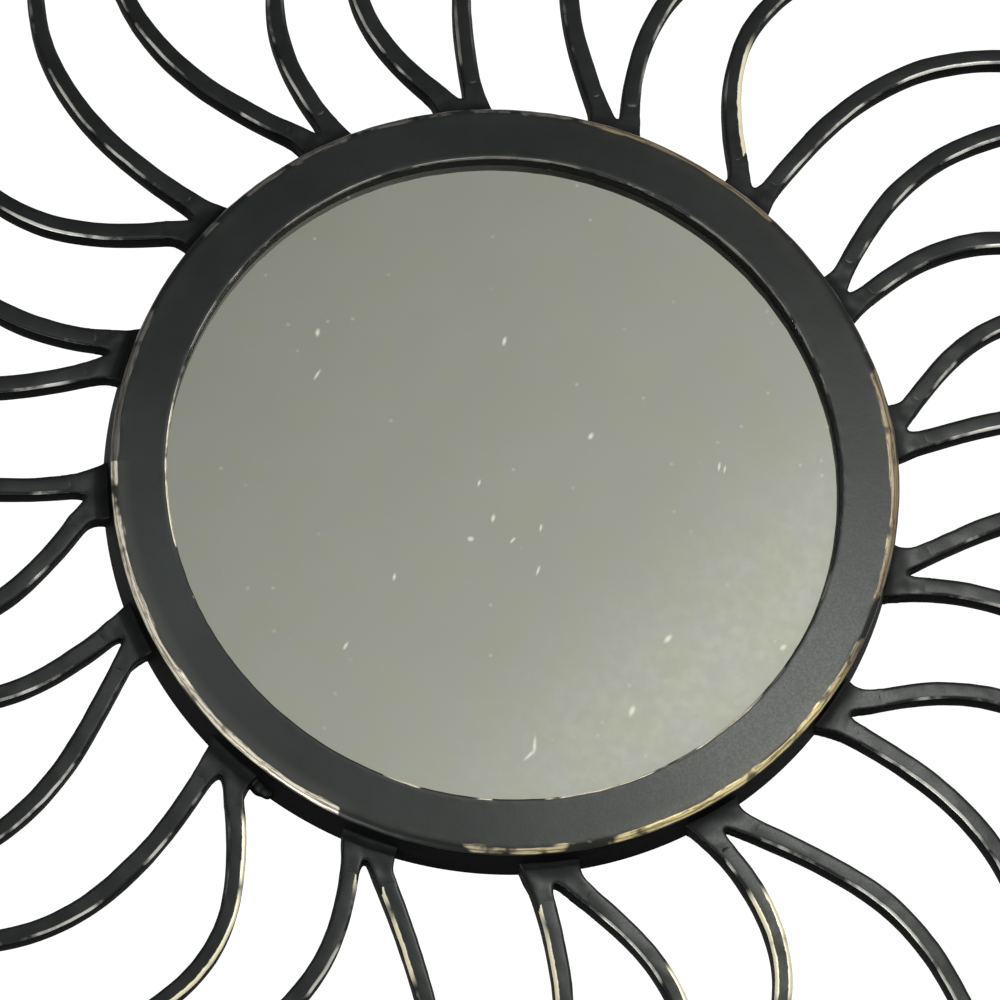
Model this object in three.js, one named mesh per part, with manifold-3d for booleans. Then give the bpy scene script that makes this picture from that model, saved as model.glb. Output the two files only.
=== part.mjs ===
// A swirl sunburst wall mirror in black painted iron: a round glass set deep in a ring,
// with sixteen petals of folded bar, short and long by turns, that all sweep clockwise.
// Millimetres. The wall is the plane y = 0, the mirror faces -Y and +Z is up.
import * as THREE from "three";
import { mergeVertices } from "three/addons/utils/BufferGeometryUtils.js";
import Module from "manifold-3d";

// Ring, glass and board
const RING_RADIUS = 140;
const RING_DEPTH = 20;
const WALL_FLARE = 2;
const OPENING_RADIUS = 120;
const OUTER_CHAMFER = 2.6;
const INNER_CHAMFER = 0.8;
const GLASS_RECESS = 6;
const GLASS_THICKNESS = 3;
const REBATE_WIDTH = 13;
const REBATE_PLAY = 0.5;
const ROUND_SIDES = 96;

// The slot in the back of the board that a nail or screw head goes into
const SLOT_WIDTH = 9;
const SLOT_HEIGHT = 22;
const SLOT_DEPTH = 7;
const SLOT_TOP = 105;
const SLOT_ARCH_STEPS = 8;

// Bars and the feet that carry them, from the wall forward to about half the ring's depth
const BAR_DEPTH = 9;
const BAR_WIDTH_AT_FOOT = 6.8;
const BAR_WIDTH_AT_TIP = 5.6;
const LEG_STEPS = 16;
const TIP_POINT = 6;
const FOOT_RADIUS = 152.5;
const FOOT_FLARE = 0.6;
const FOOT_SKEW = 3.2;
const FOOT_WALL_STEPS = 4;
const CROTCH_INSET = 0.8;
const FIT_GAP = 0.3;

// Each leg of a petal is one bend from its foot to the tip. Turns are degrees from the foot's
// own place, or from the middle of its two feet for the tip, counter-clockwise from the front.
// Headings are degrees off the line out from the centre, and reaches say how far each one holds.
const SHORT_PETAL = {
  tipRadius: 266,
  tipTurn: -8.5,
  lead: { footTurn: 2, footHeading: 43, footReach: 49, tipHeading: -33, tipReach: 61 },
  trail: { footTurn: -2.9, footHeading: 13, footReach: 63, tipHeading: -55, tipReach: 56 },
};
const LONG_PETAL = {
  tipRadius: 291,
  tipTurn: -7,
  lead: { footTurn: 1.9, footHeading: 34, footReach: 55, tipHeading: -21, tipReach: 75 },
  trail: { footTurn: -3.4, footHeading: 9, footReach: 50, tipHeading: -57, tipReach: 87 },
};

// The feet were set by eye: where each stands, in degrees counter-clockwise from +X.
const FEET_DEG = [
  11.5, 33, 53.5, 75, 97.5, 118.25, 140.75, 163.75, 185.25, 206.25, 230, 252.5, 278.75, 303.25, 328, 350,
];
// The petals were bent by hand: how far each leans off the pattern, in degrees near its middle.
// A petal stands between its own foot and the next one.
const LEANS_DEG = [
  -0.25, -1.75, 0.25, -0.75, -0.75, 0, 0.25, -1.25, 1.75, 1, 0.25, 0.75, -0.5, -0.5, 0, 0.5,
];
const FOOT_HEADING_PER_LEAN = 3;
const TIP_TURN_PER_LEAN = 2;

// Colours
const BLACK_PAINT = { color: 0x2c2f30, roughness: 0.45, metalness: 0.3 };
const SILVERED_GLASS = { color: 0xc9ccc6, roughness: 0.05, metalness: 1 };
const DARK_BOARD = { color: 0x4a3b2c, roughness: 0.85, metalness: 0 };

// Worked out from the sizes above
const RING_FRONT = -RING_DEPTH;
const GLASS_SHELF = RING_FRONT + GLASS_RECESS;
const GLASS_FRONT = GLASS_SHELF + FIT_GAP;
const GLASS_BACK = GLASS_FRONT + GLASS_THICKNESS;
const BOARD_FRONT = GLASS_BACK + FIT_GAP;
const REBATE_RADIUS = OPENING_RADIUS + REBATE_WIDTH;
const DISC_RADIUS = REBATE_RADIUS - REBATE_PLAY;
const FOOT_WALL_RADIUS = RING_RADIUS + WALL_FLARE + FIT_GAP;

const mirror = new THREE.Group();
const wasm = await Module();
wasm.setup();

function addPiece(name, geometry, finish) {
  const piece = new THREE.Mesh(geometry, new THREE.MeshStandardMaterial(finish));
  piece.name = name;
  mirror.add(piece);
  return piece;
}

// Shapes are drawn as seen from the front and stand out from the wall.
function addBarWork(name, outline) {
  const settings = { depth: BAR_DEPTH, bevelEnabled: false };
  const geometry = new THREE.ExtrudeGeometry(new THREE.Shape(outline), settings);
  addPiece(name, geometry, BLACK_PAINT).rotation.x = Math.PI / 2;
}

function turned(profile) {
  const points = profile.map(([radius, y]) => new THREE.Vector2(radius, y));
  return new THREE.LatheGeometry(points, ROUND_SIDES);
}

function disc(radius, front, back) {
  return turned([
    [0, front],
    [radius, front],
    [radius, back],
    [0, back],
  ]);
}

function solidOf(geometry) {
  const bare = new THREE.BufferGeometry();
  bare.setAttribute("position", geometry.getAttribute("position"));
  bare.setIndex(geometry.getIndex());
  const merged = mergeVertices(bare);
  const vertProperties = merged.getAttribute("position").array;
  const triVerts = Uint32Array.from(merged.getIndex().array);
  return new wasm.Manifold(new wasm.Mesh({ numProp: 3, vertProperties, triVerts }));
}

function geometryOf(solid) {
  const { vertProperties, triVerts } = solid.getMesh();
  const geometry = new THREE.BufferGeometry();
  geometry.setAttribute("position", new THREE.BufferAttribute(vertProperties, 3));
  geometry.setIndex(new THREE.BufferAttribute(triVerts, 1));
  geometry.computeVertexNormals();
  return geometry;
}

// The hanging slot as a peg, with a round top, that runs out through the back.
function slotPeg() {
  const half = SLOT_WIDTH / 2;
  const shape = new THREE.Shape();
  shape.moveTo(-half, SLOT_TOP - SLOT_HEIGHT);
  shape.lineTo(half, SLOT_TOP - SLOT_HEIGHT);
  shape.absarc(0, SLOT_TOP - half, half, 0, Math.PI);
  const settings = { depth: 2 * SLOT_DEPTH, bevelEnabled: false, curveSegments: SLOT_ARCH_STEPS };
  const peg = new THREE.ExtrudeGeometry(shape, settings);
  return peg.rotateX(Math.PI / 2).translate(0, SLOT_DEPTH, 0);
}

function backingBoard() {
  const board = solidOf(disc(DISC_RADIUS, BOARD_FRONT, 0));
  return geometryOf(board.subtract(solidOf(slotPeg())));
}

function ringFrame() {
  return turned([
    [OPENING_RADIUS, GLASS_SHELF],
    [OPENING_RADIUS, RING_FRONT + INNER_CHAMFER],
    [OPENING_RADIUS + INNER_CHAMFER, RING_FRONT],
    [RING_RADIUS - OUTER_CHAMFER, RING_FRONT],
    [RING_RADIUS, RING_FRONT + OUTER_CHAMFER],
    [RING_RADIUS + WALL_FLARE, 0],
    [REBATE_RADIUS, 0],
    [REBATE_RADIUS, GLASS_SHELF],
    [OPENING_RADIUS, GLASS_SHELF],
  ]);
}

function polar(radius, degrees) {
  const angle = THREE.MathUtils.degToRad(degrees);
  return new THREE.Vector2(radius * Math.cos(angle), radius * Math.sin(angle));
}

function legCurve(leg, footDeg, tipRadius, tipDeg, lean) {
  const startDeg = footDeg + leg.footTurn;
  const foot = polar(FOOT_RADIUS, startDeg);
  const tip = polar(tipRadius, tipDeg);
  const leaving = startDeg + leg.footHeading + FOOT_HEADING_PER_LEAN * lean;
  const arriving = tipDeg + leg.tipHeading;
  return new THREE.CubicBezierCurve(
    foot,
    foot.clone().add(polar(leg.footReach, leaving)),
    tip.clone().sub(polar(leg.tipReach, arriving)),
    tip,
  );
}

function acrossLeg(curve, t) {
  const along = curve.getTangent(t);
  return new THREE.Vector2(-along.y, along.x);
}

// One edge of a leg, from the foot out: side is 1 for its counter-clockwise edge and -1 for the other.
function legEdge(curve, side) {
  const edge = [];
  for (let step = 0; step <= LEG_STEPS; step++) {
    const t = step / LEG_STEPS;
    const width = THREE.MathUtils.lerp(BAR_WIDTH_AT_FOOT, BAR_WIDTH_AT_TIP, t);
    edge.push(curve.getPoint(t).addScaledVector(acrossLeg(curve, t), (side * width) / 2));
  }
  return edge;
}

// Where two edges first cross, and the steps that they reach just before it.
function crossing(first, second) {
  for (let i = 1; i < first.length; i++) {
    for (let j = 1; j < second.length; j++) {
      const start = first[i - 1];
      const run = first[i].clone().sub(start);
      const otherRun = second[j].clone().sub(second[j - 1]);
      const apart = second[j - 1].clone().sub(start);
      const turn = run.cross(otherRun);
      const share = apart.cross(otherRun) / turn;
      const otherShare = apart.cross(run) / turn;
      if (share >= 0 && share <= 1 && otherShare >= 0 && otherShare <= 1) {
        return { point: start.clone().addScaledVector(run, share), first: i, second: j };
      }
    }
  }
  throw new Error("the two legs of a petal don't meet");
}

function petalOutline({ lead, trail }) {
  const leadInside = legEdge(lead, 1);
  const trailInside = legEdge(trail, -1);
  const fold = crossing(leadInside, trailInside);
  const pointing = lead.getTangent(1).add(trail.getTangent(1)).normalize();
  return [
    ...legEdge(lead, -1),
    lead.getPoint(1).addScaledVector(pointing, TIP_POINT),
    ...legEdge(trail, 1).reverse(),
    ...trailInside.slice(0, fold.second),
    fold.point,
    ...leadInside.slice(0, fold.first).reverse(),
  ];
}

// The square end that a foot turns to a leg: its clockwise and counter-clockwise corners.
function footEnd(curve) {
  const middle = curve.getPoint(0).addScaledVector(curve.getTangent(0), -FIT_GAP);
  const across = acrossLeg(curve, 0).multiplyScalar(BAR_WIDTH_AT_FOOT / 2);
  return [middle.clone().sub(across), middle.add(across)];
}

// A foot leans like the bars it carries, spreads a little where it meets the ring and is
// filled with weld between its two ends.
function footOutline(trail, lead) {
  const [trailOutside, trailInside] = footEnd(trail);
  const [leadInside, leadOutside] = footEnd(lead);
  const crotch = trailInside.clone().add(leadInside).multiplyScalar(0.5);
  crotch.setLength(crotch.length() - CROTCH_INSET);
  const from = leadOutside.angle() + (FOOT_FLARE - FOOT_SKEW) / RING_RADIUS;
  const to = trailOutside.angle() - (FOOT_FLARE + FOOT_SKEW) / RING_RADIUS;
  let sweep = to - from;
  if (sweep > 0) sweep -= 2 * Math.PI;
  const wall = [];
  for (let step = 0; step <= FOOT_WALL_STEPS; step++) {
    const angle = from + (sweep * step) / FOOT_WALL_STEPS;
    wall.push(polar(FOOT_WALL_RADIUS, THREE.MathUtils.radToDeg(angle)));
  }
  return [trailOutside, trailInside, crotch, leadInside, leadOutside, ...wall];
}

// The two legs of one petal: the lead leg stands on its own foot, the trail leg on the next one.
function petalLegs(index) {
  const pattern = index % 2 === 0 ? SHORT_PETAL : LONG_PETAL;
  const leadDeg = FEET_DEG[index];
  const next = (index + 1) % FEET_DEG.length;
  const trailDeg = next === 0 ? FEET_DEG[next] + 360 : FEET_DEG[next];
  const lean = LEANS_DEG[index];
  const tipDeg = (leadDeg + trailDeg) / 2 + pattern.tipTurn + TIP_TURN_PER_LEAN * lean;
  return {
    lead: legCurve(pattern.lead, leadDeg, pattern.tipRadius, tipDeg, lean),
    trail: legCurve(pattern.trail, trailDeg, pattern.tipRadius, tipDeg, lean),
  };
}

addPiece("ring_frame", ringFrame(), BLACK_PAINT);
addPiece("mirror_glass", disc(DISC_RADIUS, GLASS_FRONT, GLASS_BACK), SILVERED_GLASS);
addPiece("backing_board", backingBoard(), DARK_BOARD);

const petals = FEET_DEG.map((_, index) => petalLegs(index));
petals.forEach((petal, index) => {
  const number = String(index + 1).padStart(2, "0");
  const before = petals[(index + petals.length - 1) % petals.length];
  addBarWork(`petal_${number}`, petalOutline(petal));
  addBarWork(`foot_${number}`, footOutline(before.trail, petal.lead));
});

export default mirror;
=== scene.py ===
# The looks of a swirl sunburst wall mirror in black painted iron: a round glass set deep in a ring,
# with sixteen petals of folded bar on sixteen welded feet.
# Sizes are millimetres until a mesh is made. The wall is y = 0, the mirror faces -Y and +Z is up.
import math

import bmesh
import bpy
from mathutils import Matrix, Vector, geometry, noise


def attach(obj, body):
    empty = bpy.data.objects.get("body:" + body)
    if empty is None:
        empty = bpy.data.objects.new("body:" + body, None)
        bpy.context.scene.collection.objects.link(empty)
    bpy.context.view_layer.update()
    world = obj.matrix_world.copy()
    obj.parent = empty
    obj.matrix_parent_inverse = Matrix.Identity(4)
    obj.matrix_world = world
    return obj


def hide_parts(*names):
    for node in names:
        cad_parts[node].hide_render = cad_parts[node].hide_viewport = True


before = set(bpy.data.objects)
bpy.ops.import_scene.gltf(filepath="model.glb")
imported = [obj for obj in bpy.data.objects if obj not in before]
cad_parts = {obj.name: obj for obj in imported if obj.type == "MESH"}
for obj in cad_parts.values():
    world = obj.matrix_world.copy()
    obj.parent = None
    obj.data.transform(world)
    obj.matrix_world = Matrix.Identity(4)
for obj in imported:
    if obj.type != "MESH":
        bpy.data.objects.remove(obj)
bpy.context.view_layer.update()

MM = 0.001

# Ring and glass
RING_RADIUS = 140
RING_DEPTH = 20
WALL_FLARE = 2
OPENING_RADIUS = 120
OUTER_CHAMFER = 2.6
INNER_CHAMFER = 0.8
GLASS_RECESS = 6
REBATE_RADIUS = 133
RING_SIDES = 480
RING_SHARP_DEG = 40
# The ring is a little out of round: how far it bulges, where, and over how many degrees
BULGE, BULGE_DEG, BULGE_SPREAD_DEG = 1.4, 5, 17

# Bars
BAR_DEPTH = 9
BAR_WIDTH_AT_FOOT = 6.8
BAR_WIDTH_AT_TIP = 5.6
FRONT_ROUND = 1.1
BACK_ROUND = 0.6
FACE_CROWN = 0.06
LEG_STEPS = 64
FOLD_STEPS = 18
TIP_POINT = 6
TIP_MITRE = 2.2
MERGE_REACH = 0.004
# Feet: where the bars end on them, how they spread on the ring's wall and how they lap over the bars
FOOT_RADIUS = 152.5
FOOT_FLARE = 0.6
FOOT_SKEW = 3.2
FOOT_FILLET = 1.8
FOOT_OVERLAP = 0.9
FOOT_GRIP = 0.035
FOOT_PROUD = 0.12
FOOT_SINK = 0.1
FOOT_LAP = 5.5
FOOT_OFF_WALL = 0.15
FLANK_REACH = 4
CROTCH_REACH = 8
CROTCH_PINCH = 0.4

# The bend of each leg, as it is in the solids: turns from the foot's own place, or from the middle of
# the two feet for the tip, and headings off the line out from the centre, in degrees.
SHORT_PETAL = {
    "tip_radius": 266,
    "tip_turn": -8.5,
    "lead": {"foot_turn": 2, "foot_heading": 43, "foot_reach": 49, "tip_heading": -33, "tip_reach": 61},
    "trail": {"foot_turn": -2.9, "foot_heading": 13, "foot_reach": 63, "tip_heading": -55, "tip_reach": 56},
}
LONG_PETAL = {
    "tip_radius": 291,
    "tip_turn": -7,
    "lead": {"foot_turn": 1.9, "foot_heading": 34, "foot_reach": 55, "tip_heading": -21, "tip_reach": 75},
    "trail": {"foot_turn": -3.4, "foot_heading": 9, "foot_reach": 50, "tip_heading": -57, "tip_reach": 87},
}
FEET_DEG = [
    11.5, 33, 53.5, 75, 97.5, 118.25, 140.75, 163.75, 185.25, 206.25, 230, 252.5, 278.75, 303.25, 328, 350,
]
LEANS_DEG = [
    -0.25, -1.75, 0.25, -0.75, -0.75, 0, 0.25, -1.25, 1.75, 1, 0.25, 0.75, -0.5, -0.5, 0, 0.5,
]
FOOT_HEADING_PER_LEAN = 3
TIP_TURN_PER_LEAN = 2

# Hand work: how far the iron wanders from its true shape, and over what length
SWELL_DEPTH, SWELL_LENGTH = 0.35, 17
DINT_DEPTH, DINT_LENGTH = 0.14, 4.5
WELD_LUMP_DEPTH, WELD_LUMP_LENGTH = 0.35, 6
WELD_RISE, WELD_REACH = 1.5, 1.7
WELD_VOXEL = 0.55
WELD_SOFTENING = 5
HAND_SEED = 7
# A lump of weld on the ring's wall beside one foot: where it lies, and each bead's angle and size
BEADED_FOOT = 11
BEAD_RADIUS, BEAD_DEPTH = 141.5, -4
BEADS = [(231.8, 3.3), (233.2, 3.4), (234.6, 2.5)]
# A face that looks this little to the front or back counts as a side, and takes the darker side paint that
# is painted shade
RING_SIDE_LIMIT, BAR_SIDE_LIMIT = 0.25, 0.48

# Camera: it looks up at the mirror from below and a little left
CAMERA_AZIMUTH = -5.39
CAMERA_ELEVATION = -18.87
CAMERA_DISTANCE = 2126
CAMERA_OFF_CENTRE = (2.14, 9.66)
CAMERA_LENS = 216

# Floor: how far below it lies, and its half width in metres
FLOOR_DROP = 2000
FLOOR_REACH = 30
FLOOR_COLOUR, FLOOR_ROUGHNESS = (0.8, 0.8, 0.79, 1), 0.9

# Studio: white behind the mirror, grey in front of it and palest to the lower right
STUDIO_COLOUR = (1, 1, 0.98, 1)
STUDIO_FRONT = {"From Min": -0.43, "From Max": 0.02, "To Min": 0.133, "To Max": 0.575}
STUDIO_BEHIND = 1.1
STUDIO_TURNS = (-0.1, 0.75)
# Lights: name, place, target, size, watts and colour
LIGHTS = [
    ("key", (185, -550, 70), (80, 0, -70), 40, 2, (1, 0.98, 0.94)),
    ("fill", (-114, -351, 56), (-100, 0, 0), 30, 0.15, (0.95, 1, 1)),
    ("low", (-350, -130, -620), (0, 0, -40), 300, 2, (1, 1, 0.97)),
]


def polar(radius, degrees):
    angle = math.radians(degrees)
    return Vector((radius * math.cos(angle), radius * math.sin(angle)))


def lerp(a, b, share):
    return a + (b - a) * share


def clamped(value):
    return min(1, max(0, value))


# The iron wanders the same way each time.
noise.seed_set(HAND_SEED)


def wander(point, depth, length, seed):
    return noise.noise_vector(point / length + Vector((seed, 0, 0))) * depth


# Hammered iron swells and dints a little everywhere, but its back stays flat against the wall.
def forged(point):
    moved = point + wander(point, SWELL_DEPTH, SWELL_LENGTH, 0) + wander(point, DINT_DEPTH, DINT_LENGTH, 40)
    moved.y = min(moved.y, 0)
    return lerp(point, moved, min(1, -point.y / FRONT_ROUND))


def add_piece(name, mesh, nodes):
    piece = bpy.data.objects.new(name, mesh)
    bpy.context.scene.collection.objects.link(piece)
    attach(piece, "root")
    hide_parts(*nodes)
    return piece


def finished_mesh(name, bm):
    bmesh.ops.recalc_face_normals(bm, faces=bm.faces)
    bmesh.ops.scale(bm, vec=(MM, MM, MM), verts=bm.verts)
    mesh = bpy.data.meshes.new(name)
    bm.to_mesh(mesh)
    bm.free()
    return mesh


# A surface of quads through rows of points. A point is its place and how near a front edge it lies,
# which is less than nothing on the outside of a petal.
def add_grid(bm, rim, rows):
    made = []
    for row in rows:
        made.append([])
        for place, closeness in row:
            vertex = bm.verts.new(place)
            vertex[rim] = closeness
            made[-1].append(vertex)
    for first, second in zip(made, made[1:]):
        for i in range(len(first) - 1):
            face = bm.faces.new((first[i], first[i + 1], second[i + 1], second[i]))
            face.smooth = True
    return made


class Leg:
    """One leg of a petal: a bend from its foot to the tip.

    inner_side is 1 where the inside of the petal lies to the leg's left, and -1 where it lies to its right.
    """

    def __init__(self, bend, foot_deg, tip_radius, tip_deg, lean, inner_side):
        start = foot_deg + bend["foot_turn"]
        foot = polar(FOOT_RADIUS, start)
        tip = polar(tip_radius, tip_deg)
        leaving = start + bend["foot_heading"] + FOOT_HEADING_PER_LEAN * lean
        arriving = tip_deg + bend["tip_heading"]
        self.inner_side = inner_side
        self.curve = (
            foot,
            foot + polar(bend["foot_reach"], leaving),
            tip - polar(bend["tip_reach"], arriving),
            tip,
        )

    def middle(self, t):
        a, b, c, d = self.curve
        s = 1 - t
        return a * s**3 + b * (3 * s * s * t) + c * (3 * s * t * t) + d * t**3

    def heading(self, t):
        a, b, c, d = self.curve
        s = 1 - t
        return ((b - a) * (s * s) + (c - b) * (2 * s * t) + (d - c) * (t * t)).normalized()

    def half_width(self, t):
        return lerp(BAR_WIDTH_AT_FOOT, BAR_WIDTH_AT_TIP, t) / 2

    # A point beside the middle line, in from one of the edges: side is 1 inside the petal, -1 outside.
    def edge(self, t, side, inset=0):
        along = self.heading(t)
        across = Vector((-along.y, along.x)) * self.inner_side * side
        return self.middle(t) + across * (self.half_width(t) - inset)


def petal_legs(index):
    pattern = LONG_PETAL if index % 2 else SHORT_PETAL
    lead_deg = FEET_DEG[index]
    following = (index + 1) % len(FEET_DEG)
    trail_deg = FEET_DEG[following] + (0 if following else 360)
    lean = LEANS_DEG[index]
    tip_deg = (lead_deg + trail_deg) / 2 + pattern["tip_turn"] + TIP_TURN_PER_LEAN * lean
    lead = Leg(pattern["lead"], lead_deg, pattern["tip_radius"], tip_deg, lean, 1)
    trail = Leg(pattern["trail"], trail_deg, pattern["tip_radius"], tip_deg, lean, -1)
    return lead, trail


# Where the inner edges of two legs meet, and how far along each leg that is.
def fold(lead, trail, inset):
    steps = 2 * LEG_STEPS
    lead_edge = [lead.edge(i / steps, 1, inset) for i in range(steps + 1)]
    trail_edge = [trail.edge(i / steps, 1, inset) for i in range(steps + 1)]
    for i in range(steps // 2, steps):
        for j in range(steps // 2, steps):
            met = geometry.intersect_line_line_2d(*lead_edge[i:i + 2], *trail_edge[j:j + 2])
            if met:
                return met, i / steps, j / steps
    raise ValueError("the two legs of a petal don't meet")


# The section of one side of a bar from its back to its front: inset from the edge, depth, closeness to
# the front edge.
def side_section():
    section = [
        (BACK_ROUND, 0, 0),
        (0.3 * BACK_ROUND, -0.3 * BACK_ROUND, 0),
        (0, -BACK_ROUND, 0),
        (0, -0.5 * BAR_DEPTH, 0),
        (0, 2.2 * FRONT_ROUND - BAR_DEPTH, 0.55),
    ]
    for degrees in (0, 30, 60, 90):
        turn = math.radians(degrees)
        inset = FRONT_ROUND * (1 - math.cos(turn))
        depth = FRONT_ROUND * (1 - math.sin(turn)) - BAR_DEPTH
        section.append((inset, depth, 1))
    return section


# Places across a bar's face, from its outer edge to its inner one or to the seam past the fold
FACE_SHARES = [(0, -1), (0.12, -0.6), (0.3, -0.25), (0.5, 0), (0.7, 0.25), (0.88, 0.6), (1, 1)]
FACE_SHARES_TO_SEAM = [(0, -1), (0.24, -0.6), (0.6, -0.25), (0.8, 0), (0.9, 0), (0.95, 0), (1, 0)]


def raised(place, depth):
    return Vector((place.x, depth, place.y))


# A line across a bar's front or back from edge to edge. The front is crowned.
def across_face(first, last, shares, crown):
    return [
        (lerp(first, last, share) - Vector((0, crown * (1 - (2 * share - 1) ** 2), 0)), near)
        for share, near in shares
    ]


# One petal: two swept legs that share a seam from the fold to the point.
def petal_mesh(name, lead, trail):
    bm = bmesh.new()
    rim = bm.verts.layers.float.new("rim")
    section = side_section()
    folds = {inset: fold(lead, trail, inset) for inset, _, _ in section}
    pointing = (lead.heading(1) + trail.heading(1)).normalized()
    point = lead.middle(1) + pointing * TIP_POINT

    def tip_place(inset):
        return point - pointing * inset * TIP_MITRE

    for leg, which in ((lead, 1), (trail, 2)):
        fold_t = folds[section[-1][0]][which]
        straight = [fold_t * i / LEG_STEPS for i in range(LEG_STEPS + 1)]
        folded = [lerp(fold_t, 1, i / (FOLD_STEPS - 1)) for i in range(1, FOLD_STEPS)]

        def outer_row(t):
            return [(raised(leg.edge(t, -1, inset), depth), -near) for inset, depth, near in section]

        def inner_row(t):
            return [(raised(leg.edge(t, 1, inset), depth), near) for inset, depth, near in section]

        tip_row = [(raised(tip_place(inset), depth), -near) for inset, depth, near in section]
        fold_row = [(raised(folds[inset][0], depth), near) for inset, depth, near in section]
        outer = [outer_row(t) for t in straight + folded] + [tip_row]
        inner = [inner_row(t) for t in straight[:-1]] + [fold_row]
        add_grid(bm, rim, outer)
        add_grid(bm, rim, inner)

        # The front and back faces run from edge to edge, and past the fold from the edge to the seam.
        # Only the front has edges that wear and that carry the painted highlight.
        faces = []
        for corner, crown, edge in ((-1, FACE_CROWN, 1), (0, 0, 0)):
            first, last = fold_row[corner][0], tip_row[corner][0]
            seam = [lerp(first, last, i / FOLD_STEPS) for i in range(FOLD_STEPS + 1)]
            face = []
            for i, row in enumerate(outer):
                beyond = i - LEG_STEPS
                far = inner[i][corner][0] if beyond < 0 else seam[beyond]
                shares = FACE_SHARES if beyond < 0 else FACE_SHARES_TO_SEAM
                narrowing = crown * (1 - max(0, beyond) / FOLD_STEPS)
                line = across_face(row[corner][0], far, shares, narrowing)
                face.append([(place, near * edge) for place, near in line])
            add_grid(bm, rim, face)
            faces.append(face)

        front, back = faces
        end = outer[0] + front[0][1:-1] + inner[0][::-1] + back[0][-2:0:-1]
        bm.faces.new([bm.verts.new(place) for place, _ in end])

    bmesh.ops.remove_doubles(bm, verts=bm.verts, dist=MERGE_REACH)
    for vertex in bm.verts:
        vertex.co = forged(vertex.co)
    return finished_mesh(name, bm)


# A weld foot laps over the ends of two legs, fills the crotch between them and spreads onto the ring's
# wall.
def foot_outline(trail, lead):
    def curve(*controls):
        return [place.to_2d() for place in geometry.interpolate_bezier(*controls, 9)]

    def flank(leg, turn):
        corner = leg.edge(0, 1, -FOOT_PROUD)
        shift = (turn * FOOT_FLARE - FOOT_SKEW) / RING_RADIUS
        root_deg = math.degrees(math.atan2(corner.y, corner.x) + shift)
        landing_deg = root_deg + math.degrees(turn * FOOT_FILLET / RING_RADIUS)
        root = polar(RING_RADIUS + WALL_FLARE, root_deg)
        landing = polar(RING_RADIUS - FOOT_OVERLAP, landing_deg)
        onwards = corner - leg.heading(0) * FLANK_REACH
        return [leg.edge(FOOT_GRIP, 1, FOOT_SINK)] + curve(corner, onwards, root, landing), landing_deg

    sides = [leg.edge(0, -1, -FOOT_PROUD) for leg in (trail, lead)]
    dips = [side - leg.heading(0) * CROTCH_REACH for side, leg in zip(sides, (trail, lead))]
    dips = [lerp(dips[0], dips[1], CROTCH_PINCH), lerp(dips[1], dips[0], CROTCH_PINCH)]
    crotch = [trail.edge(FOOT_GRIP, -1, FOOT_SINK)]
    crotch += curve(sides[0], dips[0], dips[1], sides[1])
    crotch.append(lead.edge(FOOT_GRIP, -1, FOOT_SINK))
    lead_flank, lead_deg = flank(lead, 1)
    trail_flank, trail_deg = flank(trail, -1)
    sweep = (trail_deg - lead_deg + 180) % 360 - 180
    wall = [polar(RING_RADIUS - FOOT_OVERLAP, lead_deg + sweep * i / 8) for i in range(1, 8)]
    return crotch + lead_flank + wall + trail_flank[::-1]


# How far a point of a foot lies past the end of the bar that it laps, as a share of the lap.
def lapped(point, legs):
    past = 0
    for leg in legs:
        apart = Vector((point.x, point.z)) - leg.middle(0)
        along = leg.heading(0)
        if abs(along.cross(apart)) < BAR_WIDTH_AT_FOOT:
            past = max(past, apart.dot(along))
    return clamped(past / FOOT_LAP)


# The front of a foot climbs onto the ring and runs out into the bars.
def welded(point, legs):
    radius = math.hypot(point.x, point.z)
    front = clamped((-point.y - 0.6 * BAR_DEPTH) / (0.3 * BAR_DEPTH))
    moved = forged(point)
    moved += wander(point, WELD_LUMP_DEPTH, WELD_LUMP_LENGTH, 80) * clamped((FOOT_RADIUS - radius) / 6)
    climb = WELD_RISE * math.exp(min(0, RING_RADIUS + 1 - radius) / WELD_REACH)
    moved.y -= front * (lerp(FOOT_PROUD, -FOOT_SINK, lapped(point, legs)) + climb)
    moved.y = min(moved.y, -FOOT_OFF_WALL)
    return moved


def weld_beads(number):
    if number != BEADED_FOOT:
        return []
    return [(raised(polar(BEAD_RADIUS, degrees), BEAD_DEPTH), size) for degrees, size in BEADS]


def foot_mesh(name, trail, lead, beads):
    bm = bmesh.new()
    outline = foot_outline(trail, lead)
    base = bm.faces.new([bm.verts.new((place.x, 0, place.y)) for place in outline])
    top = bmesh.ops.extrude_face_region(bm, geom=[base])["geom"]
    for item in top:
        if isinstance(item, bmesh.types.BMVert):
            item.co.y = -BAR_DEPTH
    for place, size in beads:
        bmesh.ops.create_icosphere(bm, subdivisions=3, radius=size, matrix=Matrix.Translation(place))
    bmesh.ops.recalc_face_normals(bm, faces=bm.faces)
    rough = bpy.data.meshes.new(name)
    bm.to_mesh(rough)
    bm.free()

    blank = bpy.data.objects.new(name, rough)
    bpy.context.scene.collection.objects.link(blank)
    remesh = blank.modifiers.new("fuse", "REMESH")
    remesh.mode = "VOXEL"
    remesh.voxel_size = WELD_VOXEL
    soften = blank.modifiers.new("soften", "SMOOTH")
    soften.iterations = WELD_SOFTENING
    fused = bpy.data.meshes.new_from_object(blank.evaluated_get(bpy.context.evaluated_depsgraph_get()))
    bpy.data.objects.remove(blank)

    bm = bmesh.new()
    bm.from_mesh(fused)
    for vertex in bm.verts:
        vertex.co = welded(vertex.co, (trail, lead))
    for face in bm.faces:
        face.smooth = True
    bpy.data.meshes.remove(fused)
    return finished_mesh(name, bm)


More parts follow.
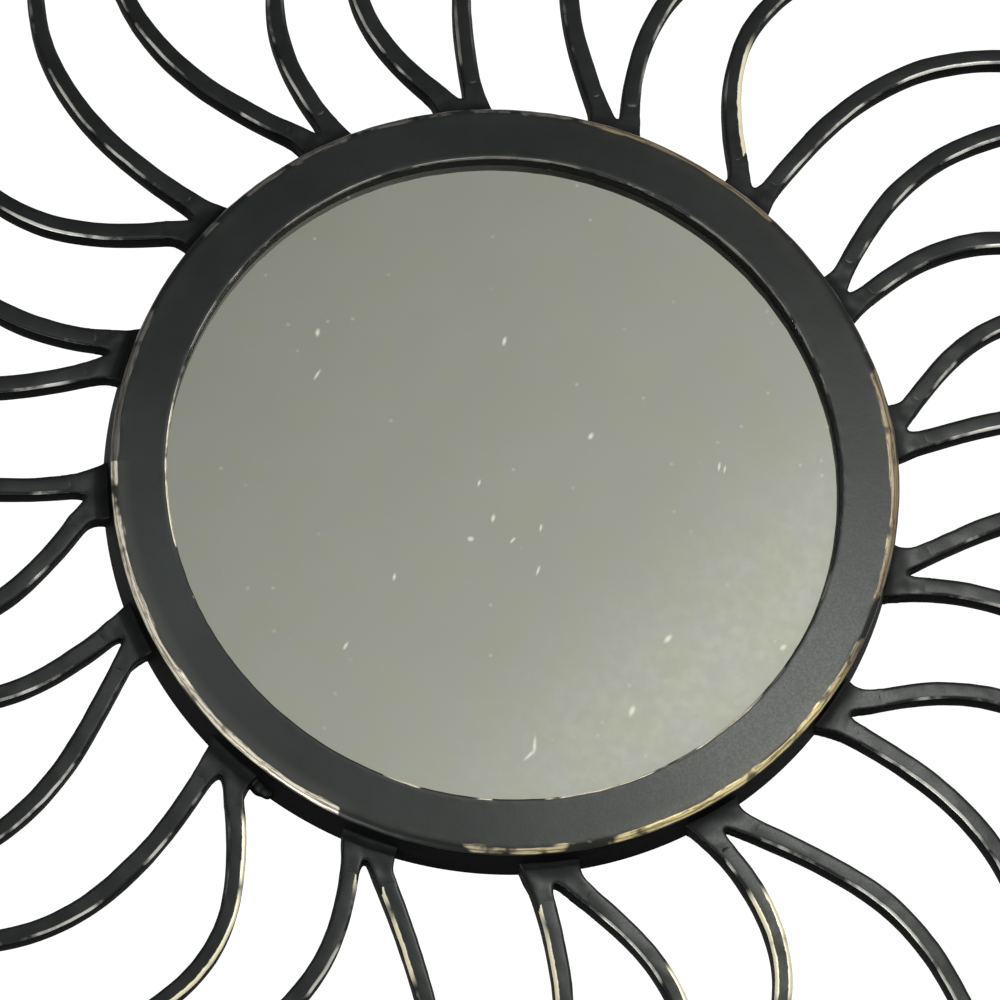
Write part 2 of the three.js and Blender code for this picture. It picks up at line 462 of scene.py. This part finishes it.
# The ring is turned from its section: radius, depth and closeness to a front edge.
def ring_section():
    front = -RING_DEPTH
    section = [(OPENING_RADIUS, front + GLASS_RECESS, 0)]
    for share in (0.3, 0.6, 0.85):
        section.append((OPENING_RADIUS, front + lerp(GLASS_RECESS, INNER_CHAMFER, share), 0))
    for degrees in (0, 30, 60, 90):
        turn = math.radians(degrees)
        radius = OPENING_RADIUS + INNER_CHAMFER * (1 - math.cos(turn))
        section.append((radius, front + INNER_CHAMFER * (1 - math.sin(turn)), 1))
    for share in (0.06, 0.2, 0.4, 0.6, 0.8, 0.93):
        start = OPENING_RADIUS + INNER_CHAMFER
        section.append((lerp(start, RING_RADIUS - OUTER_CHAMFER, share), front, 0))
    for degrees in (90, 75, 60, 45, 30, 15, 0):
        turn = math.radians(degrees)
        radius = RING_RADIUS - OUTER_CHAMFER * (1 - math.cos(turn))
        section.append((radius, front + OUTER_CHAMFER * (1 - math.sin(turn)), 1))
    for share in (0.12, 0.4, 0.7, 1):
        depth = lerp(front + OUTER_CHAMFER, 0, share)
        section.append((RING_RADIUS + WALL_FLARE * share, depth, 0))
    section += [
        (lerp(RING_RADIUS, REBATE_RADIUS, 0.5), 0, 0),
        (REBATE_RADIUS, 0, 0),
        (REBATE_RADIUS, front + GLASS_RECESS, 0),
        (OPENING_RADIUS, front + GLASS_RECESS, 0),
    ]
    return section


def ring_mesh(name):
    bm = bmesh.new()
    rim = bm.verts.layers.float.new("rim")
    rows = []
    for step in range(RING_SIDES + 1):
        degrees = 360 * (step % RING_SIDES) / RING_SIDES
        row = []
        from_bulge = (degrees - BULGE_DEG + 180) % 360 - 180
        bulge = BULGE * math.exp(-((from_bulge / BULGE_SPREAD_DEG) ** 2))
        for radius, depth, near in ring_section():
            share = clamped((radius - OPENING_RADIUS) / (REBATE_RADIUS - OPENING_RADIUS))
            place = raised(polar(radius + bulge * share, degrees), depth)
            place += wander(place, 0.5 * SWELL_DEPTH, 3 * SWELL_LENGTH, 120) * min(1, -depth)
            place += wander(place, DINT_DEPTH, DINT_LENGTH, 160) * near
            row.append((place, near))
        rows.append(row)
    add_grid(bm, rim, rows)
    bmesh.ops.remove_doubles(bm, verts=bm.verts, dist=MERGE_REACH)
    for edge in bm.edges:
        edge.smooth = edge.calc_face_angle(0) < math.radians(RING_SHARP_DEG)
    return finished_mesh(name, bm)


class Nodes:
    """Short hand for building one node tree."""

    def __init__(self, owner):
        owner.use_nodes = True
        self.tree = owner.node_tree
        self.tree.nodes.clear()

    def add(self, kind, inputs, **settings):
        node = self.tree.nodes.new(kind)
        for name, value in settings.items():
            setattr(node, name, value)
        for key, value in inputs.items():
            if isinstance(value, bpy.types.NodeSocket):
                self.tree.links.new(value, node.inputs[key])
            else:
                node.inputs[key].default_value = value
        return node

    def math(self, operation, *values):
        return self.add("ShaderNodeMath", dict(enumerate(values)), operation=operation).outputs[0]

    # 0 below low and 1 above high, or the other way round where low is the larger
    def rise(self, value, low, high):
        inputs = {"Value": value, "From Min": low, "From Max": high}
        return self.add("ShaderNodeMapRange", inputs, interpolation_type="SMOOTHSTEP").outputs["Result"]

    def noise(self, place, size, detail=3, roughness=0.5):
        inputs = {"Vector": place, "Scale": 1 / (size * MM), "Detail": detail, "Roughness": roughness}
        return self.add("ShaderNodeTexNoise", inputs).outputs["Fac"]

    # Noise that is drawn out along the ring's edge: length goes round it and width across it
    def streaks(self, place, across, length, width):
        x, _, z = self.parts(place)
        inputs = {
            "X": self.math("DIVIDE", x, length * MM),
            "Y": self.math("DIVIDE", across, width),
            "Z": self.math("DIVIDE", z, length * MM),
        }
        drawn_out = self.add("ShaderNodeCombineXYZ", inputs).outputs["Vector"]
        return self.add("ShaderNodeTexNoise", {"Vector": drawn_out, "Scale": 1, "Detail": 3}).outputs["Fac"]

    def blend(self, share, first, second):
        node = self.add("ShaderNodeMix", {"Factor": share}, data_type="RGBA")
        for socket, value in ((node.inputs[6], first), (node.inputs[7], second)):
            if isinstance(value, bpy.types.NodeSocket):
                self.tree.links.new(value, socket)
            else:
                socket.default_value = (*value, 1)
        return node.outputs[2]

    def blend_value(self, share, first, second):
        inputs = {"Factor": share, "A": first, "B": second}
        return self.add("ShaderNodeMix", inputs, data_type="FLOAT").outputs["Result"]

    def ramp(self, share, stops):
        node = self.add("ShaderNodeValToRGB", {"Fac": share})
        elements = node.color_ramp.elements
        while len(elements) < len(stops):
            elements.new(0.5)
        for element, (position, colour) in zip(elements, stops):
            element.position = position
            element.color = colour
        return node

    def bump(self, height, distance):
        inputs = {"Height": height, "Distance": distance * MM}
        return self.add("ShaderNodeBump", inputs).outputs["Normal"]

    def length(self, vector):
        return self.add("ShaderNodeVectorMath", {0: vector}, operation="LENGTH").outputs["Value"]

    def distance(self, first, second):
        inputs = {0: first, 1: second}
        return self.add("ShaderNodeVectorMath", inputs, operation="DISTANCE").outputs["Value"]

    def place(self):
        return self.add("ShaderNodeTexCoord", {}).outputs["Object"]

    def parts(self, vector):
        node = self.add("ShaderNodeSeparateXYZ", {"Vector": vector})
        return node.outputs["X"], node.outputs["Y"], node.outputs["Z"]

    # Distance from the middle of the glass, in millimetres, and the share of a turn from -X
    def round_place(self, place):
        x, _, z = self.parts(place)
        flat = self.add("ShaderNodeCombineXYZ", {"X": x, "Z": z}).outputs["Vector"]
        radius = self.math("DIVIDE", self.length(flat), MM)
        turn = self.math("MULTIPLY_ADD", self.math("ARCTAN2", z, x), 0.5 / math.pi, 0.5)
        return radius, turn

    def finish(self, **inputs):
        named = {key.replace("_", " "): value for key, value in inputs.items()}
        shader = self.add("ShaderNodeBsdfPrincipled", named)
        self.add("ShaderNodeOutputMaterial", {"Surface": shader.outputs["BSDF"]})


def new_material(name):
    material = bpy.data.materials.new(name)
    return material, Nodes(material)


CHARCOAL = (0.0085, 0.0098, 0.0098)
CHARCOAL_PALE = (0.0135, 0.0152, 0.0150)
# Near-black painted shade, for the sides and for the welds by the ring's wall
SHADE_BLACK = (0.0018, 0.0018, 0.0020)
SHADE_BLACK_PALE = (0.0036, 0.0038, 0.0042)
UNDERCOAT = (0.05, 0.03, 0.018)
CREAM = (0.93, 0.86, 0.70)
# Silver of the painted highlight along the bars' lower edges
HIGHLIGHT_SILVER = (0.62, 0.62, 0.58)
# Grey of the ring's edges, partly rubbed paint and partly painted highlight
GREY_RUB_AND_HIGHLIGHT = (0.16, 0.16, 0.15)
GOLD = (0.86, 0.73, 0.38)
TAN = (0.27, 0.22, 0.145)


def around(stops):
    """Ramp stops from degrees counter-clockwise from +X, where the ramp starts at -180."""
    return [(degrees / 360 + 0.5, (*colour, amount)) for degrees, amount, colour in stops]


# How much of each edge of the ring is rubbed through, and to what, all the way round. The grey bands,
# mostly along the top, are partly rubbed paint and partly painted highlight.
OUTER_EDGE_WEAR = around([
    (-180, 0.75, CREAM), (-172, 0.85, CREAM), (-165, 1, CREAM), (-118, 1, CREAM), (-112, 0.1, CREAM),
    (-78, 0.1, GOLD), (-70, 0.8, GOLD), (-62, 1, GOLD), (-38, 1, GOLD), (-28, 0.7, TAN), (-20, 0.2, TAN),
    (-12, 0.75, TAN), (12, 0.85, TAN), (20, 0.5, TAN), (30, 0.1, TAN), (40, 0.6, TAN), (50, 0.85, TAN),
    (72, 0.8, TAN), (84, 0.6, GREY_RUB_AND_HIGHLIGHT), (150, 0.5, GREY_RUB_AND_HIGHLIGHT), (168, 0.7, GREY_RUB_AND_HIGHLIGHT),
])
INNER_EDGE_WEAR = around([
    (-180, 0.95, CREAM), (-170, 0.85, CREAM), (-162, 0.1, CREAM), (-118, 0.1, CREAM), (-108, 0.55, CREAM),
    (-68, 0.6, CREAM), (-60, 1, CREAM), (-47, 1, CREAM), (-40, 0.15, GREY_RUB_AND_HIGHLIGHT), (5, 0.3, GREY_RUB_AND_HIGHLIGHT),
    (20, 0.75, GREY_RUB_AND_HIGHLIGHT), (155, 0.8, GREY_RUB_AND_HIGHLIGHT), (165, 0.4, GREY_RUB_AND_HIGHLIGHT), (172, 0.9, CREAM),
])
# Places on the bars that are rubbed to a pale gold: x, z, reach, and the petal's inner or outer edge
RUBBED_PLACES = [
    (88, 155, 24, -1), (87, 131, 15, -1),
    (-91, -138, 15, 1), (-97, -167, 19, 1), (-110, -186, 17, 1),
    (-43, -147, 12, -1), (-36, -172, 15, -1),
    (13, -150, 13, 1), (16, -178, 17, 1),
    (65, -182, 12, 1),
    (92, -158, 13, 1), (92, -158, 13, -1), (98, -176, 15, 1), (98, -176, 15, -1),
]
RUBBED_GOLD = (0.86, 0.80, 0.58)
STAIN = 0.03
WORN_METAL = 0.35
PAINT_SPECULAR = 0.25
PAINT_TINT = (0.94, 1, 0.985, 1)
BAR_WAVES = 0.12
# Satin paint: sizes of its clouds, grain, ripples and waves, and how much the grain and ripples show
CLOUD_SIZE, GRAIN_SIZE, RIPPLE_SIZE, WAVE_SIZE = 30, 0.9, 7, 15
GRAIN_HEIGHT, RIPPLE_HEIGHT = 0.012, 0.03
SATIN_ROUGHNESS, GRAIN_ROUGHNESS = 0.34, 0.1
# Sides: a dull black of painted shade, with a fine pitting
SIDE_ROUGHNESS, SIDE_SPECULAR = 0.7, 0.03
PIT_SIZE, PIT_DEPTH = 1.4, 0.08
# Painted shade on the welds by the ring's wall: how far out from the ring it ends and is full, and how much
# rougher it is
WELD_SHADE_ENDS, WELD_SHADE_FULL, WELD_SHADE_ROUGHNESS = 9, 4, 0.12
# The painted highlight along a bar, a silver line on its front edges that look down: where it starts past
# the foot, and which way its edge has to look
HIGHLIGHT_STARTS, HIGHLIGHT_FULL = 2, 12
HIGHLIGHT_LOOKS_LEVEL, HIGHLIGHT_LOOKS_DOWN = 0.1, -0.3
CRUMB_SIZE, PATCH_SIZE = 2.4, 22
# How much of the undercoat shows in the dirt of a rubbed edge
DIRT = 0.75


# Satin paint: a dark skin with faint clouds of dust and a fine grain.
def paint_base(nodes, place, waves=0):
    clouds = nodes.noise(place, CLOUD_SIZE, 4)
    grain = nodes.noise(place, GRAIN_SIZE, 2)
    colour = nodes.blend(nodes.rise(clouds, 0.35, 0.7), CHARCOAL, CHARCOAL_PALE)
    roughness = nodes.math("MULTIPLY_ADD", grain, GRAIN_ROUGHNESS, SATIN_ROUGHNESS)
    height = nodes.math("MULTIPLY", grain, GRAIN_HEIGHT)
    height = nodes.math("MULTIPLY_ADD", nodes.noise(place, RIPPLE_SIZE), RIPPLE_HEIGHT, height)
    height = nodes.math("MULTIPLY_ADD", nodes.noise(place, WAVE_SIZE, 1), waves, height)
    return colour, roughness, nodes.bump(height, 1)


# How much an edge of the ring is rubbed, and where the rubbed band is clean. across is millimetres over
# the edge's rounding, starting from the face, and width how far the rounding goes.
# The same band carries the grey painted highlight along the upper edges
def rubbed_band(nodes, place, across, width, amount):
    streaks = nodes.streaks(place, across, 15, 0.3 * width)
    ragged = nodes.math("MULTIPLY_ADD", nodes.math("SUBTRACT", streaks, 0.5), 0.6 * width, across)
    begins = nodes.rise(ragged, -0.02 * width, 0.12 * width)
    ends = nodes.rise(ragged, 0.82 * width, 0.6 * width)
    even = nodes.rise(nodes.noise(place, 16, 3), 0.3, 0.7)
    kept = nodes.rise(nodes.math("ADD", even, amount), 0.95, 1.2)
    band = nodes.math("MULTIPLY", nodes.math("MULTIPLY", begins, ends), kept)
    from_groove = nodes.math("ABSOLUTE", nodes.math("SUBTRACT", ragged, 0.38 * width))
    from_crack = nodes.math("ABSOLUTE", nodes.math("SUBTRACT", streaks, 0.56))
    groove = nodes.rise(from_groove, 0.01 * width, 0.1 * width)
    return band, nodes.math("MULTIPLY", groove, nodes.rise(from_crack, 0, 0.05))


def ring_paint():
    material, nodes = new_material("ring_paint")
    place = nodes.place()
    colour, roughness, normal = paint_base(nodes, place)
    radius, turn = nodes.round_place(place)
    behind = nodes.math("ADD", nodes.math("DIVIDE", nodes.parts(place)[1], MM), RING_DEPTH)
    outwards = nodes.math("SUBTRACT", radius, RING_RADIUS - OUTER_CHAMFER)
    inwards = nodes.math("SUBTRACT", OPENING_RADIUS + INNER_CHAMFER, radius)

    # Only the front edges are rubbed and take the grey painted highlight
    in_front = nodes.rise(behind, GLASS_RECESS, 0.7 * GLASS_RECESS)
    worn = 0
    for reach, chamfer, stops in (
        (outwards, OUTER_CHAMFER, OUTER_EDGE_WEAR),
        (inwards, INNER_CHAMFER, INNER_EDGE_WEAR),
    ):
        wear = nodes.ramp(turn, stops)
        across = nodes.math("ADD", reach, behind)
        band, clean = rubbed_band(nodes, place, across, 2 * chamfer, wear.outputs["Alpha"])
        band = nodes.math("MULTIPLY", band, in_front)
        dirty = nodes.blend(DIRT, wear.outputs["Color"], UNDERCOAT)
        worn_colour = nodes.blend(clean, dirty, wear.outputs["Color"])
        stain = nodes.math("MULTIPLY", nodes.rise(across, -2.2 * chamfer, 0), wear.outputs["Alpha"])
        stain = nodes.math("MULTIPLY", stain, in_front)
        colour = nodes.blend(nodes.math("MULTIPLY", stain, STAIN), colour, wear.outputs["Color"])
        colour = nodes.blend(band, colour, worn_colour)
        worn = nodes.math("MAXIMUM", worn, band)
    metal = nodes.math("MULTIPLY", worn, WORN_METAL)
    nodes.finish(
        Base_Color=colour, Metallic=metal, Roughness=roughness, Normal=normal,
        Specular_IOR_Level=PAINT_SPECULAR, Specular_Tint=PAINT_TINT,
    )
    return material


def bar_paint():
    material, nodes = new_material("bar_paint")
    place = nodes.place()
    colour, roughness, normal = paint_base(nodes, place, BAR_WAVES)
    side = nodes.add("ShaderNodeAttribute", {}, attribute_name="rim").outputs["Fac"]
    rim = nodes.math("ABSOLUTE", side)
    crumbs = nodes.math("SUBTRACT", nodes.noise(place, CRUMB_SIZE, 4, 0.6), 0.5)
    patches = nodes.math("SUBTRACT", nodes.noise(place, PATCH_SIZE, 3), 0.5)
    looks = nodes.parts(nodes.add("ShaderNodeNewGeometry", {}).outputs["Normal"])[2]

    # Painted shade darkens the welds close to the ring's wall
    radius, _ = nodes.round_place(place)
    weld_shade = nodes.rise(radius, RING_RADIUS + WELD_SHADE_ENDS, RING_RADIUS + WELD_SHADE_FULL)
    colour = nodes.blend(weld_shade, colour, SHADE_BLACK_PALE)
    roughness = nodes.math("MULTIPLY_ADD", weld_shade, WELD_SHADE_ROUGHNESS, roughness)

    # A painted highlight: a thin silver line runs along the front edges that look down
    near = nodes.math("MULTIPLY_ADD", crumbs, 0.12, rim)
    near = nodes.math("MULTIPLY_ADD", patches, 0.9, near)
    highlight_facing = nodes.rise(looks, HIGHLIGHT_LOOKS_LEVEL, HIGHLIGHT_LOOKS_DOWN)
    line = nodes.math("MULTIPLY", nodes.rise(near, 0.94, 1.08), highlight_facing)
    past_foot = nodes.rise(radius, FOOT_RADIUS + HIGHLIGHT_STARTS, FOOT_RADIUS + HIGHLIGHT_FULL)
    line = nodes.math("MULTIPLY", line, past_foot)
    colour = nodes.blend(line, colour, HIGHLIGHT_SILVER)

    worn = 0
    for x, z, reach, edge in RUBBED_PLACES:
        centre = Vector((x, -BAR_DEPTH, z)) * MM
        spot = nodes.rise(nodes.distance(place, centre), reach * MM, 0.5 * reach * MM)
        edge_share = nodes.math("MULTIPLY_ADD", side, edge, nodes.math("MULTIPLY", crumbs, 0.5))
        rubbed = nodes.math("MULTIPLY", spot, nodes.rise(edge_share, 0.55, 0.8))
        worn = nodes.math("MAXIMUM", worn, rubbed)
    colour = nodes.blend(worn, colour, RUBBED_GOLD)
    # The painted highlight and the rubbed gold both turn partly metallic
    metal = nodes.math("MULTIPLY", nodes.math("MAXIMUM", line, worn), WORN_METAL)
    nodes.finish(
        Base_Color=colour, Metallic=metal, Roughness=roughness, Normal=normal,
        Specular_IOR_Level=PAINT_SPECULAR, Specular_Tint=PAINT_TINT,
    )
    return material


# Painted shade: faces that look sideways get a darker, duller copy of the paint, so that the bars'
# undersides and the ring's walls stay black.
def shaded_side_paint():
    material, nodes = new_material("shaded_side_paint")
    place = nodes.place()
    colour = nodes.blend(nodes.noise(place, 9, 4), SHADE_BLACK, SHADE_BLACK_PALE)
    normal = nodes.bump(nodes.noise(place, PIT_SIZE, 3), PIT_DEPTH)
    nodes.finish(
        Base_Color=colour, Roughness=SIDE_ROUGHNESS, Specular_IOR_Level=SIDE_SPECULAR, Normal=normal,
    )
    return material


# How dull a speck of dust, the film and the haze by the edge make the glass
DUST, FILM, HAZE = 0.6, 0.01, 0.19
SILVERING, SILVERING_PALE = (0.93, 0.955, 0.79), (0.935, 0.96, 0.86)
SILVER_ROUGHNESS = 0.005
# Fine specks: their spacing, size, the share of places that hold one, and how strong they are
SPECK_CELL, SPECK_SIZE, SPECK_SHARE, SPECK_STRENGTH = 9, 1, 0.7, 0.25
# How far a mark of dust fades out, as shares of its half length and half width
MARK_FADE = (1.7, 0.2)
# How far from the middle of the glass, towards the lower right, the haze starts and is full
HAZE_STARTS, HAZE_FULL = 38, 125
# Dust and hairs on the glass: x, z, half length, half width and turn in degrees
DUST_MARKS = [
    (-67, 53, 1.3, 0.7, 80), (-67, 37, 1.9, 0.4, 60), (0, 52, 1.5, 0.6, 75), (31, 17, 1.2, 0.7, 60),
    (-4, -15, 1.3, 0.6, 75), (-12, -23, 1, 0.8, 0), (3, -23, 1.2, 0.4, 50), (13, -18, 1.2, 0.4, 80),
    (12, -34, 1.6, 0.4, 70), (-39, -38, 1.2, 0.5, 80), (-9, -2, 1.1, 0.4, 70), (-56, -64, 1.4, 0.5, 60),
    (58, -58, 1.6, 0.8, 50), (77, 7, 1.4, 0.4, 80), (79, 6, 1.2, 0.3, 80), (45, -85, 1.8, 0.8, 70),
    (99, -60, 1.2, 0.8, 40), (9, -102, 2.6, 0.5, 45), (10.6, -98.5, 2.8, 0.55, 85),
]


def mirror_silver():
    material, nodes = new_material("mirror_silver")
    place = nodes.place()
    x, _, z = nodes.parts(place)

    def specks(cell, size, share):
        inputs = {"Vector": place, "Scale": 1 / (cell * MM), "Randomness": 1}
        cells = nodes.add("ShaderNodeTexVoronoi", inputs)
        dot = nodes.rise(cells.outputs["Distance"], size / cell, 0.2 * size / cell)
        chosen = nodes.rise(nodes.parts(cells.outputs["Color"])[0], 1 - share, 1.02 - share)
        return nodes.math("MULTIPLY", dot, chosen)

    fine_dust = specks(SPECK_CELL, SPECK_SIZE, SPECK_SHARE)
    marks = nodes.math("MULTIPLY", fine_dust, SPECK_STRENGTH)
    for mark_x, mark_z, half_length, half_width, degrees in DUST_MARKS:
        inputs = {
            "Vector": place,
            "Location": Vector((mark_x, GLASS_RECESS - RING_DEPTH, mark_z)) * MM,
            "Rotation": (0, -math.radians(degrees), 0),
            "Scale": (half_length * MM, MM, half_width * MM),
        }
        oval = nodes.add("ShaderNodeMapping", inputs, vector_type="TEXTURE").outputs["Vector"]
        marks = nodes.math("MAXIMUM", marks, nodes.rise(nodes.length(oval), *MARK_FADE))

    # A dull film lies over the glass and thickens towards the lower right edge
    film = nodes.math("MULTIPLY_ADD", nodes.rise(nodes.noise(place, 26, 4), 0.35, 0.7), FILM, FILM)
    corner = nodes.math("MULTIPLY", nodes.math("SUBTRACT", x, z), math.sqrt(0.5) / MM)
    mottle = nodes.rise(nodes.noise(place, 5, 5, 0.7), 0.38, 0.7)
    cover = nodes.math("MULTIPLY_ADD", mottle, 0.55 * HAZE, 0.7 * HAZE)
    haze = nodes.math("MULTIPLY", nodes.rise(corner, HAZE_STARTS, HAZE_FULL), cover)
    fine = nodes.math("ADD", film, haze)
    dust = nodes.math("MULTIPLY_ADD", marks, DUST, fine)
    clouds = nodes.rise(nodes.noise(place, 17, 5, 0.65), 0.35, 0.65)
    colour = nodes.blend(clouds, SILVERING, SILVERING_PALE)
    clean = nodes.math("SUBTRACT", 1, dust)
    nodes.finish(Base_Color=colour, Metallic=clean, Roughness=SILVER_ROUGHNESS)
    return material


FIBRE_DARK, FIBRE_PALE = (0.055, 0.036, 0.022), (0.13, 0.088, 0.055)
BOARD_STAIN = (0.05, 0.035, 0.024)
FIBRE_SIZE, FIBRE_DEPTH = 1.2, 0.15
STAIN_SIZE = 35
BOARD_ROUGHNESS = 0.82


def hardboard():
    material, nodes = new_material("hardboard")
    place = nodes.place()
    fibres = nodes.noise(place, FIBRE_SIZE, 5, 0.7)
    clouds = nodes.noise(place, STAIN_SIZE, 3)
    colour = nodes.blend(fibres, FIBRE_DARK, FIBRE_PALE)
    colour = nodes.blend(nodes.rise(clouds, 0.4, 0.8), colour, BOARD_STAIN)
    nodes.finish(Base_Color=colour, Roughness=BOARD_ROUGHNESS, Normal=nodes.bump(fibres, FIBRE_DEPTH))
    return material


def dress(piece, *materials):
    piece.data.materials.clear()
    for material in materials:
        piece.data.materials.append(material)


# Faces that look sideways take the second material, the painted shade
def split_sides(piece, limit):
    for polygon in piece.data.polygons:
        polygon.material_index = 1 if abs(polygon.normal.y) < limit else 0


ring_finish, bar_finish, shaded_side_finish = ring_paint(), bar_paint(), shaded_side_paint()
ring = add_piece("turned_ring", ring_mesh("turned_ring"), ["ring_frame"])
dress(ring, ring_finish, shaded_side_finish)
split_sides(ring, RING_SIDE_LIMIT)

petals = [petal_legs(index) for index in range(len(FEET_DEG))]
for index, (lead, trail) in enumerate(petals):
    number = f"{index + 1:02d}"
    petal = add_piece(
        f"forged_petal_{number}",
        petal_mesh(f"forged_petal_{number}", lead, trail),
        [f"petal_{number}"],
    )
    before_trail = petals[index - 1][1]
    foot = add_piece(
        f"welded_foot_{number}",
        foot_mesh(f"welded_foot_{number}", before_trail, lead, weld_beads(index + 1)),
        [f"foot_{number}"],
    )
    for piece in (petal, foot):
        dress(piece, bar_finish, shaded_side_finish)
        split_sides(piece, BAR_SIDE_LIMIT)

dress(bpy.data.objects["mirror_glass"], mirror_silver())
dress(bpy.data.objects["backing_board"], hardboard())


def add_camera():
    azimuth, elevation = math.radians(CAMERA_AZIMUTH), math.radians(CAMERA_ELEVATION)
    back = Vector((
        math.sin(azimuth) * math.cos(elevation),
        -math.cos(azimuth) * math.cos(elevation),
        math.sin(elevation),
    ))
    right = Vector((0, 0, 1)).cross(back).normalized()
    up = back.cross(right)
    aim = Vector((0, -RING_DEPTH, 0)) - right * CAMERA_OFF_CENTRE[0] - up * CAMERA_OFF_CENTRE[1]
    data = bpy.data.cameras.new("camera")
    data.lens = CAMERA_LENS
    data.sensor_width = 36
    camera = bpy.data.objects.new("camera", data)
    bpy.context.scene.collection.objects.link(camera)
    turn = Matrix((right, up, back)).transposed().to_4x4()
    camera.matrix_world = Matrix.Translation((aim + back * CAMERA_DISTANCE) * MM) @ turn
    bpy.context.scene.camera = camera


def add_world():
    world = bpy.data.worlds.new("studio")
    bpy.context.scene.world = world
    nodes = Nodes(world)
    direction = nodes.add("ShaderNodeTexCoord", {}).outputs["Generated"]
    x, y, z = nodes.parts(direction)
    slant = nodes.math("SUBTRACT", x, z)
    front = nodes.add("ShaderNodeMapRange", {"Value": slant, **STUDIO_FRONT}).outputs["Result"]
    strength = nodes.blend_value(nodes.rise(y, *STUDIO_TURNS), front, STUDIO_BEHIND)
    shade = nodes.add("ShaderNodeBackground", {"Color": STUDIO_COLOUR, "Strength": strength})
    nodes.add("ShaderNodeOutputWorld", {"Surface": shade.outputs["Background"]})


def add_light(name, place, target, size, watts, colour):
    data = bpy.data.lights.new(name, "AREA")
    data.shape = "DISK"
    data.size = size * MM
    data.energy = watts
    data.color = colour
    light = bpy.data.objects.new(name, data)
    bpy.context.scene.collection.objects.link(light)
    light.location = Vector(place) * MM
    light.rotation_euler = (Vector(target) - Vector(place)).to_track_quat("-Z", "Y").to_euler()


def add_floor():
    bm = bmesh.new()
    bmesh.ops.create_grid(bm, x_segments=8, y_segments=8, size=FLOOR_REACH)
    mesh = bpy.data.meshes.new("floor")
    bm.to_mesh(mesh)
    bm.free()
    floor = bpy.data.objects.new("floor", mesh)
    bpy.context.scene.collection.objects.link(floor)
    floor.location.z = -FLOOR_DROP * MM
    material, nodes = new_material("floor")
    nodes.finish(Base_Color=FLOOR_COLOUR, Roughness=FLOOR_ROUGHNESS)
    dress(floor, material)


add_camera()
add_world()
for light in LIGHTS:
    add_light(*light)
add_floor()
bpy.context.scene.view_settings.view_transform = "Standard"
